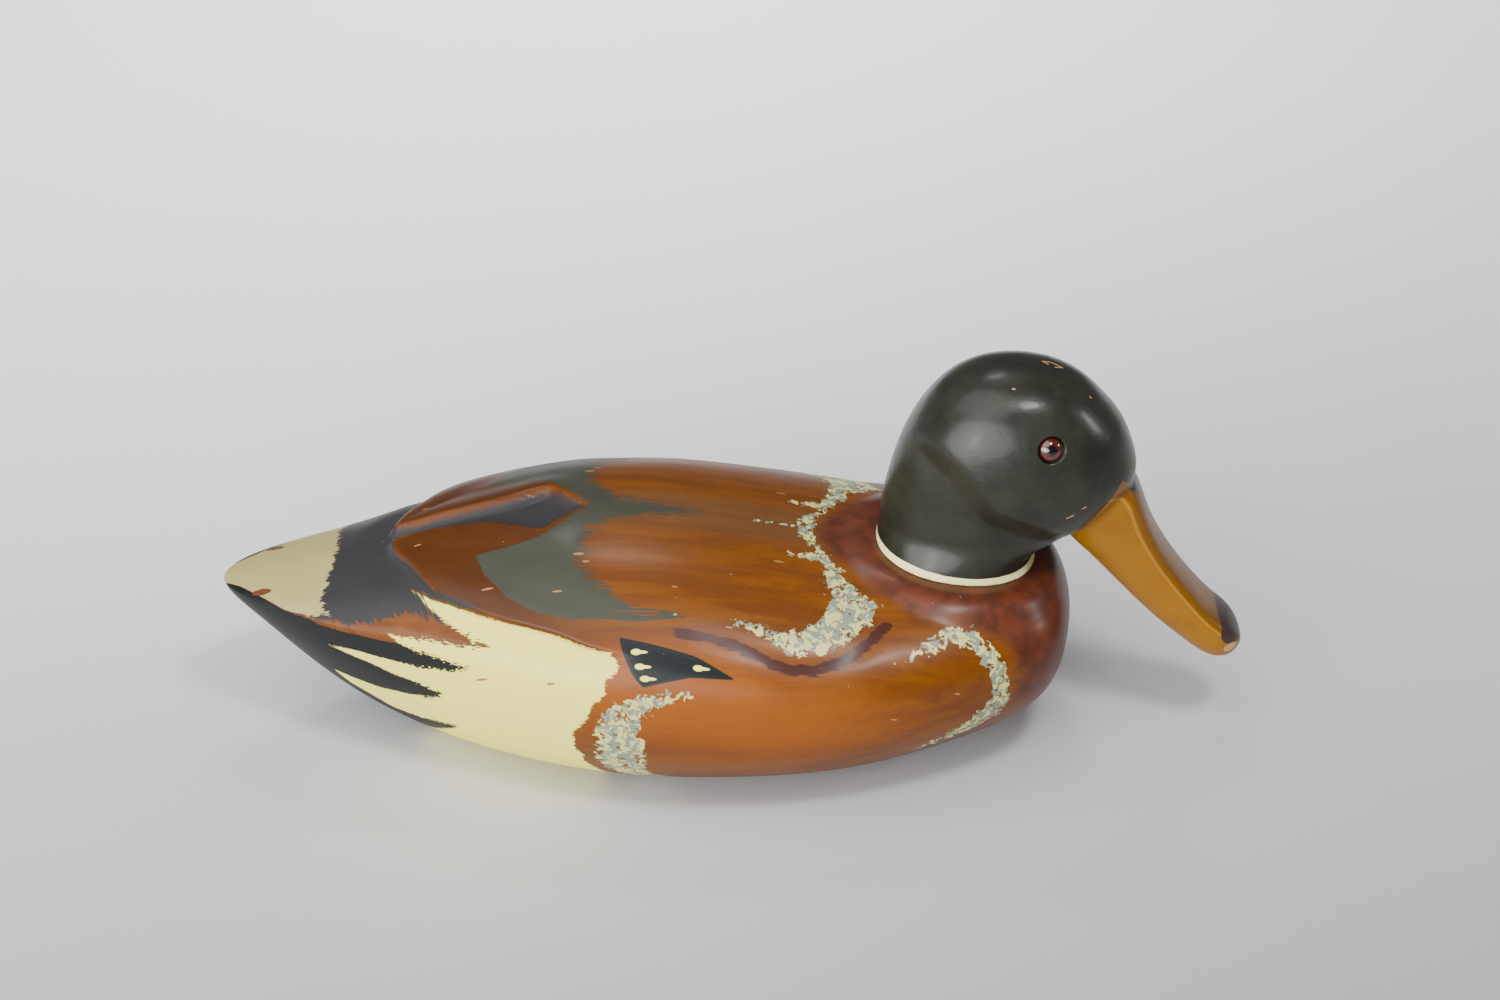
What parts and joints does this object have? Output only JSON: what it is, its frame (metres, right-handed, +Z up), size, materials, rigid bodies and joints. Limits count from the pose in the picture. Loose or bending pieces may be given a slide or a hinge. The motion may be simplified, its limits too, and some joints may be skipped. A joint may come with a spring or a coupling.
{
  "type": "floating duck decoy",
  "caption": "Hollow carved wooden drake decoy with a flat let-in bottom board, ballast, an anchor line ring and a head that turns on a neck dowel.",
  "frame": {"origin": "on the flat bottom, at the middle of the body's length, in the plane of symmetry", "axes": "+X towards the breast and bill, +Y to the duck's left, +Z up"},
  "size_m": [0.4024, 0.1542, 0.1628],
  "materials": {
    "stained_wood": "stained and painted, satin varnish",
    "bare_wood": "worn bare wood",
    "sealing_compound": "matte",
    "brass": "dulled",
    "lead": "oxidised",
    "head_paint": "semi-gloss paint on carved wood",
    "hardwood": "bare",
    "steel": "plated, dull",
    "eye_glass": "polished"
  },
  "bodies": {
    "body": {"body_block": "stained_wood", "bottom_board": "bare_wood", "board_seal": "sealing_compound", "board_screw_1": "brass", "board_screw_2": "brass", "board_screw_3": "brass", "board_screw_4": "brass", "board_screw_5": "brass", "board_screw_6": "brass", "ballast_weight": "lead", "ballast_screw_1": "brass", "ballast_screw_2": "brass", "neck_plug": "hardwood", "line_eye": "brass"},
    "head": {"head": "head_paint", "neck_dowel": "hardwood", "neck_screw": "steel", "neck_washer": "steel", "eye_left": "eye_glass", "eye_right": "eye_glass"},
    "line_ring": {"line_ring": "brass"}
  },
  "joints": [
    {"name": "head_turn", "type": "hinge", "parent": "body", "child": "head", "pos_m": [0.12, 0, 0.08128], "axis": [0.1219, 0, 0.9925], "range_deg": [-60, 60]},
    {"name": "line_ring_swing", "type": "hinge", "parent": "body", "child": "line_ring", "pos_m": [0.14948, 0, 0.00954], "axis": [0, 1, 0], "range_deg": [-165, 15]}
  ]
}
